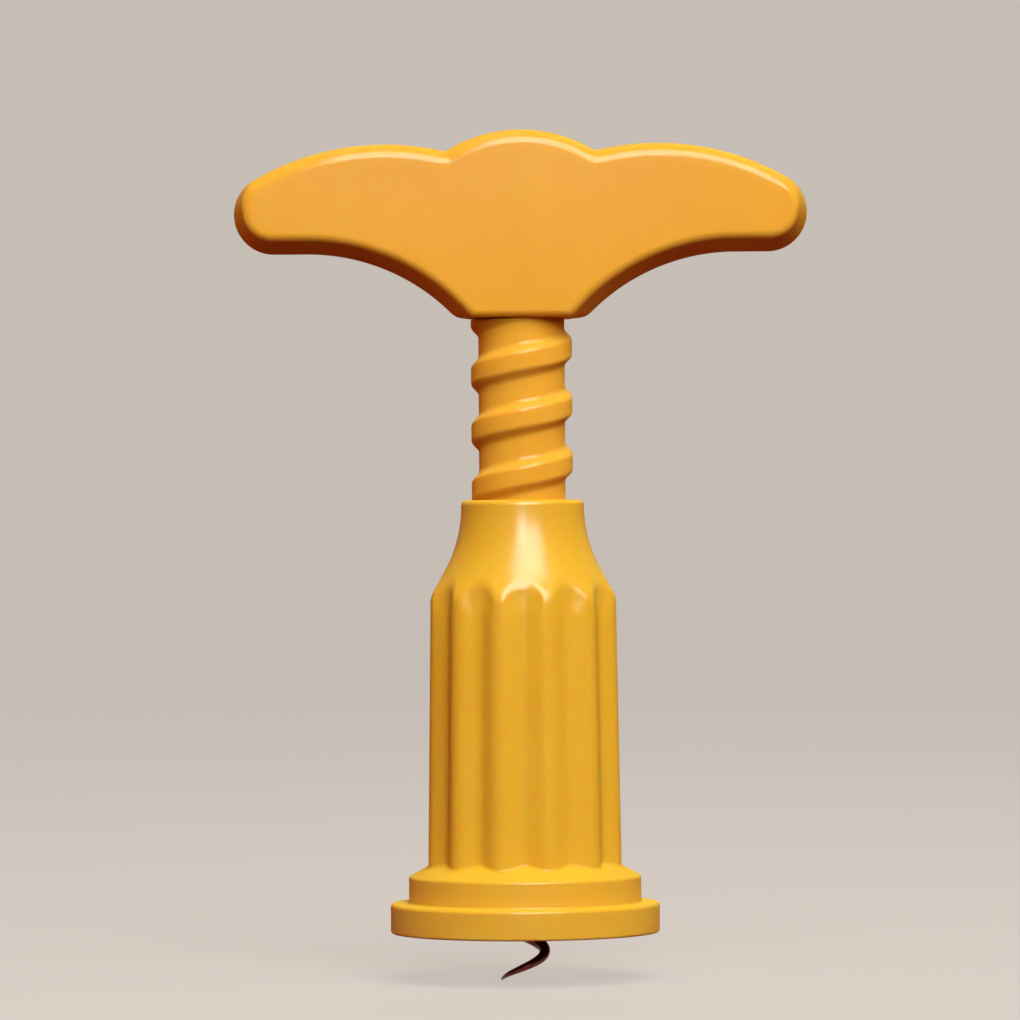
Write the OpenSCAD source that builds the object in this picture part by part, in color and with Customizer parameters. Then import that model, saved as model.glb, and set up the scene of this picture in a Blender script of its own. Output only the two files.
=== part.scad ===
// Bell corkscrew: a T-handle turns a threaded spindle and its worm through the neck of a fluted bell
// that sits on the bottle. Millimetres, +Z up the axis, origin at the centre of the bell's base face.
// The broad face of the handle looks along -Y, its wings reach along X. Shown as photographed, half raised.

/* [Bell] */
// Height of the bell from its base face to the top of the neck
bell_h = 77.8; // [72:0.1:90]
// Radius of the lowest ring of the base
flange_r = 24.2; // [23:0.1:28]
// Height of the lowest ring
flange_h = 5.4; // [4.4:0.1:7]
// Radius of the second ring of the base
step_r = 20.9; // [20:0.1:22.5]
// Height of the second ring
step_h = 5.1; // [4:0.1:6]
// Rounding of the upper edges of the two rings
ring_edge = 0.9; // [0.4:0.1:1.4]
// Slope of the cone that rises from the second ring to the body
foot_angle = 28; // [24:1:38]
// Radius over the ridges at the foot of the body
body_foot_r = 17.85; // [17.6:0.05:19]
// Radius over the ridges below the shoulder
body_head_r = 17.1; // [17:0.05:17.6]
// Half angle of the shoulder cone
shoulder_angle = 36; // [30:1:40]
// Radius of the hollow flare between shoulder and neck
flare_r = 24; // [18:0.1:26]
// Radius of the neck
neck_r = 11.05; // [10.9:0.05:12]
// Straight length of the neck above the flare
collar_h = 1; // [1:0.1:3]
// Rounding of the neck's upper rim
rim_edge = 0.9; // [0.4:0.1:0.95]

/* [Flutes] */
// Number of hollow flutes round the body
flute_count = 12; // [10:1:14]
// Radius of each flute's hollow
flute_r = 4.8; // [4.5:0.1:8]
// Depth of a flute below the ridges
flute_depth = 1.7; // [1:0.1:2]

/* [Bottle socket] */
// Radius of the flared mouth at the base face
mouth_r = 21.4; // [18:0.1:22]
// Height of the flare
mouth_h = 4.6; // [3:0.1:6]
// Radius of the socket round the bottle's lip
socket_r = 15.4; // [15:0.1:16]
// Height of the seat on which the bottle's lip stops
seat_z = 10.5; // [9:0.1:11]
// Radius of the bell's bore above the seat
bore_r = 13.3; // [13:0.1:13.8]

/* [Screw thread] */
// Travel of the spindle in one turn
pitch = 10.3; // [9:0.1:12]
// Radius of the spindle between the ridges of its thread
core_r = 7.75; // [7.4:0.05:8]
// Radius over the ridges
crest_r = 9.1; // [8.8:0.05:9.4]
// Width of a ridge where it leaves the core
ridge_root_w = 5.9; // [5.2:0.1:6.2]
// Width of a ridge at its crest
ridge_crest_w = 3.3; // [2.8:0.1:4]
// Depth below the handle at which a ridge crosses the +X side
ridge_drop = 15.55; // [10:0.05:20]
// Play between the two threads, along and across
thread_gap = 0.3; // [0.2:0.05:0.4]
// Length of the threaded bore in the neck
nut_h = 15.2; // [14:0.1:17]
// Length of spindle that shows between neck and handle
shown_h = 32.7; // [20:0.1:40]
// Way that the spindle can still rise from here
rise_h = 14; // [8:0.1:18]
// Play left at both ends of the travel
stop_gap = 0.3; // [0.2:0.05:0.5]

/* [Handle] */
// Span over both wings
handle_w = 103.2; // [90:0.1:115]
// Thickness from face to face
handle_t = 19; // [18:0.1:23]
// Rounding of the edges of both faces
edge_r = 2.3; // [1.5:0.1:2.5]
// Height of that rounding where a face meets the handle's underside
foot_edge = 1.3; // [0.8:0.1:1.6]
// Draft by which the sides close in from the parting plane to the faces
side_draft = 8; // [6:0.5:10]
// Wall of the two shells
shell_wall = 2.8; // [2.5:0.1:3]
// Height of the rounded crest above the handle's underside
crest_h = 34; // [33:0.1:36]
// Radius of the crest
crest_arc_r = 25.5; // [24:0.1:28]
// Height of the wings at their highest point
wing_h = 31.45; // [30:0.05:32.5]
// Distance of that point from the axis
wing_peak_x = 24.5; // [23:0.1:26]
// Radius of the wings' upper edge
wing_arc_r = 47; // [44:0.1:52]
// Height of the flat under the wing tips
wing_low_h = 11.7; // [10:0.1:13]
// Width of the flat underside that meets the spindle
foot_w = 23.4; // [22:0.1:26]
// Length of the flat between the wing tip's round and the hollow under the wing
under_flat = 5.9; // [4:0.1:8]
// Radius in the notch between crest and wing
notch_r = 1.6; // [1:0.1:2.5]

/* [Handle screws] */
// Distance of the wing screws from the axis
screw_x = 33; // [30:0.1:36]
// Height of the wing screws above the underside
screw_h = 20; // [19:0.1:22]
// Height of the crest screw above the underside
crest_screw_h = 25.6; // [25:0.1:26.5]
// Radius of the screws' shank
screw_r = 1.35; // [1.2:0.05:1.5]
// Length of the shank
screw_l = 11; // [9:0.1:12]
// Radius of the screw heads
screw_head_r = 2.6; // [2.4:0.05:2.8]
// Height of the screw heads
screw_head_h = 1.9; // [1.6:0.1:2.2]
// Depth of the screw heads below the rear face
screw_sink = 1.6; // [1:0.1:2]
// Wall of the bosses round the screws
boss_wall = 1.6; // [1.2:0.1:2]

/* [Spindle head] */
// Radius of the stem that passes the handle's underside
stem_r = 6.0; // [5.6:0.05:6.2]
// Height of the driving block inside the handle
block_h = 5.5; // [4:0.1:7]
// Height of the stem's top above the handle's underside
stem_top_h = 17; // [16:0.1:18]

/* [Worm] */
// Radius of the wire
wire_r = 1.4; // [1.2:0.05:1.5]
// Radius over the turns of the worm
worm_r = 4.45; // [4.2:0.05:5]
// Pitch of the worm
worm_pitch = 10.3; // [9:0.1:12]
// Reach of the point below the bell's base face
point_drop = 8.5; // [4:0.1:14]
// Turns over which the wire is ground down to its point
point_turn = 1.3; // [1:0.05:1.6]
// Height over which the top turn comes in to the axis
blend_h = 4.6; // [4:0.1:6]
// Width of the flattened end inside the spindle head
tang_w = 4.2; // [3.8:0.1:4.4]
// Thickness of the flattened end
tang_t = 1.5; // [1.3:0.1:1.8]
// Height of the flattened end
tang_h = 7; // [6:0.1:7.5]
// Depth of the flattened end below the top of the stem
tang_inset = 1.5; // [0.5:0.1:2]
// Radius of the cross pin
pin_r = 0.75; // [0.6:0.05:0.9]

/* [Lower end] */
// Radius of the journal that carries the stop washer
journal_r = 5.6; // [5.4:0.05:6]
// Thickness of the stop washer
washer_t = 2; // [1.5:0.1:3]
// Play of the stop washer in the bell's bore
washer_play = 0.4; // [0.3:0.05:0.6]
// Radius of the bush's plug
plug_r = 4.2; // [4:0.05:4.4]
// Length of the bush's plug
plug_h = 8; // [6:0.1:10]
// Radius of the bush's flange
bush_flange_r = 7.3; // [6.8:0.1:7.6]
// Thickness of the bush's flange
bush_flange_t = 2.5; // [2:0.1:3]
// Bore of the spindle round the worm's shank
spindle_bore_r = 2.4; // [2.3:0.05:2.6]

/* [Fits] */
// Clearance of a turning or sliding fit, across the radius
run_fit = 0.08; // [0.04:0.01:0.1]
// Clearance of a pressed or clamped fit, across the radius
set_fit = 0.03; // [0.02:0.01:0.05]
// Play of the washer along its journal and of the block in its pocket
loose_fit = 0.15; // [0.1:0.05:0.25]

/* [Hidden] */
$fn = 96;
// Depth to which a thread's rib is rooted in its wall, and how far the neck's rib stops inside its ends
rib_sink = 0.6;
nut_inset = 0.5;
// Share of a turn over which the spindle's ridge rises at its lower end
ridge_lead = 0.3;
// Bevel round the foot of the bush
bush_edge = 0.8;
// Depth to which the ribs in the handle are rooted in its floor, and how far they stand in over it
rib_lap = 0.4;
steel = [0.62, 0.62, 0.64];
amber = [0.95, 0.66, 0.16];

// Heights along the axis
step_top_z = flange_h + step_h;
neck_floor_z = bell_h - nut_h;
handle_z = bell_h + shown_h;
washer_top_z = neck_floor_z - rise_h - stop_gap;
journal_top_z = washer_top_z + loose_fit;
journal_foot_z = journal_top_z - washer_t - 2 * loose_fit;
bush_foot_z = journal_foot_z - bush_flange_t;
block_z = handle_z + shell_wall + loose_fit;
stem_top_z = handle_z + stem_top_h;
tang_top_z = stem_top_z - tang_inset;
tang_z = tang_top_z - tang_h;
pin_z = tang_z + tang_h / 2;

// Joint limits that follow from the sizes, for whoever drives the model
travel_down = shown_h - stop_gap;
echo(travel_up_mm = rise_h, travel_down_mm = travel_down,
     turns_up = rise_h / pitch, turns_down = travel_down / pitch);

// Height at which a ridge of the spindle crosses the +X side
ridge_zero_z = handle_z - ridge_drop;

function unit(v) = v / norm(v);
function polar(r, a) = [r * cos(a), r * sin(a)];
function arc(centre, r, a0, a1, n) =
  [for (i = [0:n]) centre + polar(r, a0 + (a1 - a0) * i / n)];
// The same arc without its first point, to follow on from a curve that ends there
function arc_on(centre, r, a0, a1, n) =
  [for (i = [1:n]) centre + polar(r, a0 + (a1 - a0) * i / n)];
function smooth(t) = t * t * (3 - 2 * t);

// Centre of the circle of radius r that touches two circles from outside, on the upper side
function touching_centre(c1, r1, c2, r2, r) =
  let (d = norm(c2 - c1), along = ((r1 + r) ^ 2 - (r2 + r) ^ 2 + d * d) / (2 * d),
       across = sqrt((r1 + r) ^ 2 - along ^ 2), u = unit(c2 - c1))
  c1 + along * u + across * [-u.y, u.x];

// A closed outline, listed anticlockwise, drawn in by d along the mitre of each corner,
// and by foot_d along its closing edge
function drawn_in(p, d, foot_d) =
  let (n = len(p))
  [for (i = [0:n - 1])
    let (u = unit(p[i] - p[(i + n - 1) % n]), v = unit(p[(i + 1) % n] - p[i]),
         nu = [-u.y, u.x], nv = [-v.y, v.x], c = nu * nv,
         du = i == 0 ? foot_d : d, dv = i == n - 1 ? foot_d : d)
    p[i] + (du == dv ? d * (nu + nv) / (1 + c)
      : ((du - dv * c) * nu + (dv - du * c) * nv) / (1 - c * c))];

// Faces over rings of equal length, for rings that run anticlockwise when they are seen
// from the end that they lead to: the sides alone, then with a cap on both ends
function side_faces(rings, sides) =
  [for (i = [0:rings - 2]) for (k = [0:sides - 1])
    let (a = i * sides + k, b = i * sides + (k + 1) % sides)
    each [[b + sides, b, a], [a + sides, b + sides, a]]];
function skin_faces(rings, sides) = concat(
  [[for (k = [0:sides - 1]) k]],
  side_faces(rings, sides),
  [[for (k = [sides - 1:-1:0]) (rings - 1) * sides + k]]);

// A thread rib: four corners of its section carried up a helix, tapered over the lead at its lower end
module helix_rib(inner_r, outer_r, inner_w, outer_w, zero_z, from_z, to_z, lead = 0) {
  steps_per_turn = 30;
  turn_from = (from_z - zero_z) / pitch;
  n = ceil((to_z - from_z) / pitch * steps_per_turn);
  points = [for (i = [0:n])
    let (turn = turn_from + (to_z - from_z) / pitch * i / n, z = zero_z + turn * pitch,
         grow = lead > 0 ? min(1, 0.15 + 0.85 * (turn - turn_from) / lead) : 1,
         tip_r = inner_r + (outer_r - inner_r) * grow)
    each [for (c = [[inner_r, -inner_w], [inner_r, inner_w], [tip_r, outer_w], [tip_r, -outer_w]])
      [c[0] * cos(360 * turn), c[0] * sin(360 * turn), z + c[1] * grow / 2]]];
  polyhedron(points, skin_faces(n + 1, 4), convexity = 10);
}

// Shoulder of the bell: where its flare ends and where its cone meets the ridges
flare_end_r = neck_r + flare_r * (1 - cos(shoulder_angle));
flare_end_z = bell_h - collar_h - flare_r * sin(shoulder_angle);
shoulder_z = flare_end_z - (body_head_r - flare_end_r) / tan(shoulder_angle);
draft = atan((body_foot_r - body_head_r) / (shoulder_z - step_top_z));

module bell_body() {
  rotate_extrude() polygon(concat(
    [[0, flange_h], [body_foot_r, flange_h], [body_foot_r, step_top_z], [body_head_r, shoulder_z]],
    [for (i = [0:6])
      let (a = shoulder_angle * (1 - i / 6))
      [neck_r + flare_r * (1 - cos(a)), bell_h - collar_h - flare_r * sin(a)]],
    arc([neck_r - rim_edge, bell_h - rim_edge], rim_edge, 0, 90, 4),
    [[0, bell_h]]));
}

module bell_base() {
  cone_top_r = bore_r + 1;
  rotate_extrude() polygon(concat(
    [[0, 0], [flange_r, 0]],
    arc([flange_r - ring_edge, flange_h - ring_edge], ring_edge, 0, 90, 4),
    [[step_r, flange_h]],
    arc([step_r - ring_edge, step_top_z - ring_edge], ring_edge, 0, 90 - foot_angle, 4),
    [let (r = step_r - ring_edge + ring_edge * sin(foot_angle))
      [cone_top_r, step_top_z - ring_edge + ring_edge * cos(foot_angle) + (r - cone_top_r) * tan(foot_angle)],
     [0, step_top_z]]));
}

module flutes() {
  for (i = [0:flute_count - 1])
    rotate(270 + 360 * i / flute_count)
      translate([body_foot_r - flute_depth + flute_r, 0, step_top_z])
        rotate([0, -draft, 0])
          cylinder(r = flute_r, h = bell_h);
}

module bell_hollow() {
  rotate_extrude() polygon([
    [0, -1], [mouth_r + (mouth_r - socket_r) / mouth_h, -1], [socket_r, mouth_h], [socket_r, seat_z],
    [bore_r, seat_z], [bore_r, neck_floor_z],
    [crest_r + thread_gap, neck_floor_z], [crest_r + thread_gap, bell_h + 1], [0, bell_h + 1]]);
}

// The rib of the neck's inner thread lies midway between two ridges of the spindle
module nut_rib() {
  flank = (ridge_root_w - ridge_crest_w) / 2 / (crest_r - core_r);
  tip_r = core_r + thread_gap;
  root_r = crest_r + thread_gap + rib_sink;
  tip_w = pitch - ridge_root_w + 2 * (thread_gap * flank - thread_gap);
  root_w = tip_w + 2 * flank * (root_r - tip_r);
  intersection() {
    helix_rib(tip_r, root_r, tip_w, root_w, ridge_zero_z + pitch / 2,
              neck_floor_z - pitch / 2, bell_h + pitch / 2);
    translate([0, 0, neck_floor_z + nut_inset])
      cylinder(r = neck_r, h = nut_h - 2 * nut_inset);
  }
}

module bell() {
  color(amber) {
    difference() {
      union() {
        difference() {
          bell_body();
          flutes();
        }
        bell_base();
      }
      bell_hollow();
    }
    nut_rib();
  }
}

// Loose washer on the spindle's lower end: it centres the spindle in the bore and stops it under the neck
module stop_washer() {
  color("ivory")
    translate([0, 0, washer_top_z - washer_t])
      difference() {
        cylinder(r = bore_r - washer_play, h = washer_t);
        translate([0, 0, -1])
          cylinder(r = journal_r + run_fit, h = washer_t + 2);
      }
}

module spindle() {
  color(amber)
    difference() {
      union() {
        translate([0, 0, journal_foot_z])
          cylinder(r = journal_r, h = journal_top_z - journal_foot_z + 1);
        translate([0, 0, journal_top_z])
          cylinder(r = core_r, h = handle_z - journal_top_z);
        helix_rib_on_core();
        translate([0, 0, handle_z - 1])
          cylinder(r = stem_r, h = stem_top_h + 1);
        translate([-block_w / 2, -block_d / 2, block_z])
          cube([block_w, block_d, block_h]);
      }
      translate([0, 0, journal_foot_z - 1])
        cylinder(r = spindle_bore_r, h = tang_z - journal_foot_z + 1);
      translate([0, 0, journal_foot_z - 1])
        cylinder(r = plug_r + set_fit, h = plug_h + loose_fit + 1);
      translate([-tang_w / 2 - loose_fit, -tang_t / 2 - loose_fit, tang_z - 2])
        cube([tang_w + 2 * loose_fit, tang_t + 2 * loose_fit, stem_top_h]);
      translate([0, 0, pin_z])
        rotate([90, 0, 0])
          cylinder(r = pin_r + set_fit, h = 2 * stem_r + 2, center = true);
    }
}

module helix_rib_on_core() {
  flank = (ridge_root_w - ridge_crest_w) / (crest_r - core_r);
  low_z = journal_top_z + ridge_root_w;
  intersection() {
    helix_rib(core_r - rib_sink, crest_r, ridge_root_w + rib_sink * flank, ridge_crest_w, ridge_zero_z,
              low_z, handle_z + pitch / 2, ridge_lead);
    cylinder(r = crest_r + 1, h = handle_z - stop_gap);
  }
}

// Plug that closes the spindle's bore, centres the worm's shank and holds the stop washer up
module end_bush() {
  color("ivory")
    difference() {
      union() {
        translate([0, 0, bush_foot_z])
          cylinder(r1 = bush_flange_r - bush_edge, r2 = bush_flange_r, h = bush_edge);
        translate([0, 0, bush_foot_z + bush_edge])
          cylinder(r = bush_flange_r, h = bush_flange_t - bush_edge);
        translate([0, 0, journal_foot_z - bush_edge])
          cylinder(r = plug_r, h = plug_h + bush_edge);
      }
      translate([0, 0, bush_foot_z - 1])
        cylinder(r = wire_r + run_fit, h = bush_flange_t + plug_h + 2);
    }
}

// Worm: a ground point, turns of even pitch, a turn drawn in to the axis, a straight shank, a flat end
worm_sides = 10;
rings_per_turn = 20;
shank_foot_z = bush_foot_z - 1;
coil_top_z = shank_foot_z - blend_h;
// Wire radius at the point and in the turns, as shares of the shank's
point_share = 0.1;
coil_share = 0.97;
worm_rings = ceil((shank_foot_z + point_drop) / worm_pitch * rings_per_turn);

function worm_turn(z) = 0.5 + (z + point_drop) / worm_pitch;
function worm_wire(z) =
  let (t = max(0, min(1, (z + point_drop) / (worm_pitch * point_turn))))
  wire_r * (point_share + (coil_share - point_share) * sin(90 * t ^ 0.75));
function worm_reach(z) =
  (worm_r - worm_wire(z)) * (1 - smooth(max(0, min(1, (z - coil_top_z) / blend_h))));
function worm_at(z) =
  let (a = 360 * worm_turn(z)) [worm_reach(z) * cos(a), worm_reach(z) * sin(a), z];

module worm() {
  points = [for (i = [0:worm_rings])
    let (z = -point_drop + (shank_foot_z + point_drop) * i / worm_rings,
         t = unit(worm_at(z + 0.02) - worm_at(z - 0.02)), a = 360 * worm_turn(z),
         out = [cos(a), sin(a), 0], e = unit(out - (out * t) * t), b = cross(t, e))
    each [for (k = [0:worm_sides - 1])
      worm_at(z) + worm_wire(z) * (cos(360 * k / worm_sides) * e + sin(360 * k / worm_sides) * b)]];
  color(steel) {
    polyhedron(points, skin_faces(worm_rings + 1, worm_sides), convexity = 12);
    difference() {
      union() {
        translate([0, 0, shank_foot_z])
          cylinder(r = wire_r, h = tang_z - shank_foot_z);
        translate([-tang_w / 2, -tang_t / 2, tang_z - 1])
          cube([tang_w, tang_t, tang_h + 1]);
      }
      translate([0, 0, pin_z])
        rotate([90, 0, 0])
          cylinder(r = pin_r + set_fit, h = 4 * wire_r, center = true);
    }
  }
}

module worm_pin() {
  color(steel)
    translate([0, 0, pin_z])
      rotate([90, 0, 0])
        cylinder(r = pin_r, h = pin_l, center = true);
}

// Handle outline in X and height above the underside, right half from the underside round to the crest
wing_centre = [wing_peak_x, wing_h - wing_arc_r];
crest_centre = [0, crest_h - crest_arc_r];
notch_centre = touching_centre(crest_centre, crest_arc_r, wing_centre, wing_arc_r, notch_r);
// The tip's circle touches the wing's arc inside, the span's end and the flat under the wing
tip_p = handle_w / 2 - wing_centre.x;
tip_q = wing_low_h - wing_centre.y;
tip_b = 2 * (wing_arc_r - tip_p + tip_q);
tip_r = (sqrt(tip_b ^ 2 - 4 * (tip_p ^ 2 + tip_q ^ 2 - wing_arc_r ^ 2)) - tip_b) / 2;
tip_centre = [handle_w / 2 - tip_r, wing_low_h + tip_r];
// The hollow under a wing rises from the edge of the underside and levels out at the flat
hollow_x = tip_centre.x - under_flat;
hollow_r = ((hollow_x - foot_w / 2) ^ 2 + wing_low_h ^ 2) / (2 * wing_low_h);
hollow_centre = [hollow_x, wing_low_h - hollow_r];

function bearing(from, to) = atan2(to.y - from.y, to.x - from.x);

outline_right = concat(
  arc(hollow_centre, hollow_r, bearing(hollow_centre, [foot_w / 2, 0]), 90, 12),
  arc(tip_centre, tip_r, -90, bearing(wing_centre, tip_centre), 12),
  arc_on(wing_centre, wing_arc_r, bearing(wing_centre, tip_centre), bearing(wing_centre, notch_centre), 10),
  arc_on(notch_centre, notch_r, bearing(notch_centre, wing_centre), bearing(notch_centre, crest_centre), 3),
  arc_on(crest_centre, crest_arc_r, bearing(crest_centre, notch_centre), 90, 6));
outline_left = [for (i = [len(outline_right) - 2:-1:0]) [-outline_right[i].x, outline_right[i].y]];
outline = concat(outline_right, outline_left);

// One half of the handle as a solid, from the parting plane to its face, on the +Z side. Its sides
// have draft, apart from the underside that seats on the spindle. Both ends are fans round a hub
// from which the whole outline can be seen
module handle_half() {
  hub = [0, crest_h / 2];
  sides = len(outline);
  edge_z = handle_t / 2 - edge_r;
  edge_d = edge_z * tan(side_draft) + edge_r / cos(side_draft);
  layers = concat([[0, 0, 0]], [for (i = [0:4])
    let (a = side_draft + (90 - side_draft) * i / 4)
    [edge_z + edge_r * sin(a), edge_d - edge_r * cos(a), foot_edge * (1 - cos(a))]]);
  rings = len(layers);
  points = [for (l = layers) each [for (p = drawn_in(outline, l[1], l[2])) [p.x, p.y, l[0]]]];
  hubs = [[hub.x, hub.y, 0], [hub.x, hub.y, handle_t / 2]];
  last = (rings - 1) * sides;
  polyhedron(concat(points, hubs), concat(
    [for (k = [0:sides - 1]) [k, (k + 1) % sides, rings * sides]],
    side_faces(rings, sides),
    [for (k = [0:sides - 1]) [last + (k + 1) % sides, last + k, rings * sides + 1]]),
    convexity = 10);
}

// Room inside the closed shells: depth to each side of the parting plane, half width at the floor,
// half width between the two ribs that hold the spindle's driving block
cavity_h = handle_t / 2 - shell_wall;
floor_x = hollow_x - sqrt((hollow_r + shell_wall) ^ 2 - (shell_wall - hollow_centre.y) ^ 2);
rib_x = floor_x - rib_lap;
block_w = 2 * (rib_x - loose_fit);
block_d = 2 * (cavity_h - loose_fit);
pin_l = block_d;

screw_places = [[-screw_x, screw_h], [screw_x, screw_h], [0, crest_screw_h]];
boss_r = screw_head_r + run_fit + boss_wall;
head_seat = handle_t / 2 - screw_sink - screw_head_h;

// A hollow half with the screw bosses and the two ribs
module handle_shell() {
  rib_h = rib_lap + loose_fit + block_h;
  difference() {
    union() {
      difference() {
        handle_half();
        translate([0, 0, -1])
          linear_extrude(cavity_h + 1)
            polygon(drawn_in(outline, shell_wall, shell_wall));
      }
      for (p = screw_places)
        translate(p)
          cylinder(r = boss_r, h = cavity_h + shell_wall / 2);
      for (side = [-1, 1])
        translate([side * (rib_x + shell_wall / 2) - shell_wall / 2, shell_wall - rib_lap, 0])
          cube([shell_wall, rib_h, cavity_h + shell_wall / 2]);
    }
    translate([0, -1, 0])
      rotate([-90, 0, 0])
        cylinder(r = stem_r + set_fit, h = shell_wall + 2);
  }
}

module handle_front_shell() {
  color(amber)
    translate([0, 0, handle_z])
      rotate([90, 0, 0])
        difference() {
          handle_shell();
          for (p = screw_places)
            translate([p.x, p.y, -1])
              cylinder(r = screw_r + set_fit, h = screw_l - head_seat + 2);
        }
}

module handle_rear_shell() {
  color(amber)
    translate([0, 0, handle_z])
      mirror([0, 1, 0])
        rotate([90, 0, 0])
          difference() {
            handle_shell();
            for (p = screw_places)
              translate([p.x, p.y, 0]) {
                translate([0, 0, -1])
                  cylinder(r = screw_r + run_fit, h = handle_t);
                translate([0, 0, head_seat])
                  cylinder(r = screw_head_r + run_fit, h = handle_t);
              }
          }
}

// Three alike, driven in from the rear
module handle_screws() {
  slot_w = screw_head_r * 0.3;
  slot_l = screw_head_r * 1.2;
  slot_d = screw_head_h * 0.6;
  color(steel)
    for (p = screw_places)
      translate([p.x, head_seat, handle_z + p.y])
        rotate([-90, 0, 0])
          difference() {
            union() {
              cylinder(r = screw_head_r, h = screw_head_h);
              translate([0, 0, -screw_l])
                cylinder(r = screw_r, h = screw_l + screw_head_h / 2);
            }
            for (turn = [0, 90])
              rotate(turn + 45)
                translate([-slot_l / 2, -slot_w / 2, screw_head_h - slot_d])
                  cube([slot_l, slot_w, screw_head_h]);
          }
}

bell();
stop_washer();
spindle();
end_bush();
worm();
worm_pin();
handle_front_shell();
handle_rear_shell();
handle_screws();
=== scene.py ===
import math

import bmesh
import bpy
import numpy as np
from mathutils import Matrix, Vector, geometry


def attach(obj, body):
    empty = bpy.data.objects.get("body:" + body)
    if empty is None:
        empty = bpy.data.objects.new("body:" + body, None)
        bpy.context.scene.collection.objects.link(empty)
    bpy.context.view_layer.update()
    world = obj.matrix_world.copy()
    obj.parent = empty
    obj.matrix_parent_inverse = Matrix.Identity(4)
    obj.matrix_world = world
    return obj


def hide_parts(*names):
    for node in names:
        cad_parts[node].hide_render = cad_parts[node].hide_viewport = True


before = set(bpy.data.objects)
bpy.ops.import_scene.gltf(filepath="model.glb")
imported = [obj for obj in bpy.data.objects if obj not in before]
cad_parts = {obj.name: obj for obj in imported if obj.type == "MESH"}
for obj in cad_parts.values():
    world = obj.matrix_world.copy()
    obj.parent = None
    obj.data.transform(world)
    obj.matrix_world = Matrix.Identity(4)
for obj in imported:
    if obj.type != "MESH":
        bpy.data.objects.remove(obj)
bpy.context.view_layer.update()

# Sizes are in millimetres and degrees, in the part's own frame; meshes are made in metres
metre = 0.001
sharpAngle = 40  # an edge that turns by more stays crisp in shading
mergeWithin = 1e-7  # points closer than this, in metres, become one


# Shared shape tools

def softMin(a, b, k):
    # the smaller of a and b, rounded where they differ by less than k
    near = np.clip(k - np.abs(a - b), 0, None) / k
    return np.minimum(a, b) - near * near * k / 4


def softMax(a, b, k):
    # the greater of a and b, rounded in the same way
    return -softMin(-a, -b, k)


def smoothStep(t):
    # 3 t^2 - 2 t^3, from 0 to 1 with level ends
    t = np.clip(t, 0, 1)
    return t * t * (3 - 2 * t)


def fullTurn(columns):
    # even angles round a circle
    return np.arange(columns) * 2 * math.pi / columns


def gridQuads(rows, columns, closedRows=False):
    # point (i, j) has index i * columns + j, and the columns close on themselves
    i, j = np.meshgrid(np.arange(rows if closedRows else rows - 1), np.arange(columns), indexing="ij")
    ahead = (i + 1) % rows * columns
    beside = (j + 1) % columns
    quads = np.stack([i * columns + j, i * columns + beside, ahead + beside, ahead + j], axis=-1)
    return quads.reshape(-1, 4)


def tubeFaces(rows, columns):
    # the quads of a tube, and one face over each of its ends
    ring = np.arange(columns)
    last = (rows - 1) * columns
    return [gridQuads(rows, columns), [ring[::-1].tolist()], [(last + ring).tolist()]]


def ringGrid(radius, height, angle):
    # point (i, j) = (r[i, j] cos a[j], r[i, j] sin a[j], z[i])
    radius = np.broadcast_to(radius, (len(height), len(angle)))
    x = radius * np.cos(angle)
    y = radius * np.sin(angle)
    z = np.broadcast_to(np.asarray(height, dtype=float)[:, None], x.shape)
    return np.stack([x, y, z], axis=-1).reshape(-1, 3)


def closedShell(radius, height, angle):
    # a ring grid whose last row joins its first
    return ringGrid(radius, height, angle), [gridQuads(len(height), len(angle), True)]


def turnedRows(path, columns):
    # the radii of a section that is the same all round
    return np.repeat(path[:, :1], columns, axis=1)


def roundedPath(corners, steps=7, support=0.12):
    # each corner (x, y, radius) between the two ends becomes an arc that touches both its sides,
    # with one more point on either side so that the flats beside it stay flat in shading
    line = [np.array(corners[0][:2], dtype=float)]
    for before, corner, after in zip(corners, corners[1:], corners[2:]):
        p = np.array(corner[:2], dtype=float)
        u = np.array(before[:2]) - p
        v = np.array(after[:2]) - p
        u = u / np.linalg.norm(u)
        v = v / np.linalg.norm(v)
        half = math.acos(np.clip(u @ v, -1, 1)) / 2
        reach = corner[2] / math.tan(half)
        centre = p + (u + v) / np.linalg.norm(u + v) * corner[2] / math.sin(half)
        first = p + u * reach - centre
        last = p + v * reach - centre
        start = math.atan2(first[1], first[0])
        sweep = math.remainder(math.atan2(last[1], last[0]) - start, 2 * math.pi)
        a = start + sweep * np.linspace(0, 1, steps)
        line.append(p + u * (reach + support))
        line.extend(centre + corner[2] * np.stack([np.cos(a), np.sin(a)], axis=-1))
        line.append(p + v * (reach + support))
    line.append(np.array(corners[-1][:2], dtype=float))
    return np.array(line)


def boxShell(low, high):
    # a box between its lowest and highest corner
    corners = np.array([[x, y, z] for z in (low[2], high[2]) for x, y in
                        ((low[0], low[1]), (high[0], low[1]), (high[0], high[1]), (low[0], high[1]))])
    return corners, tubeFaces(2, 4)


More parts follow.
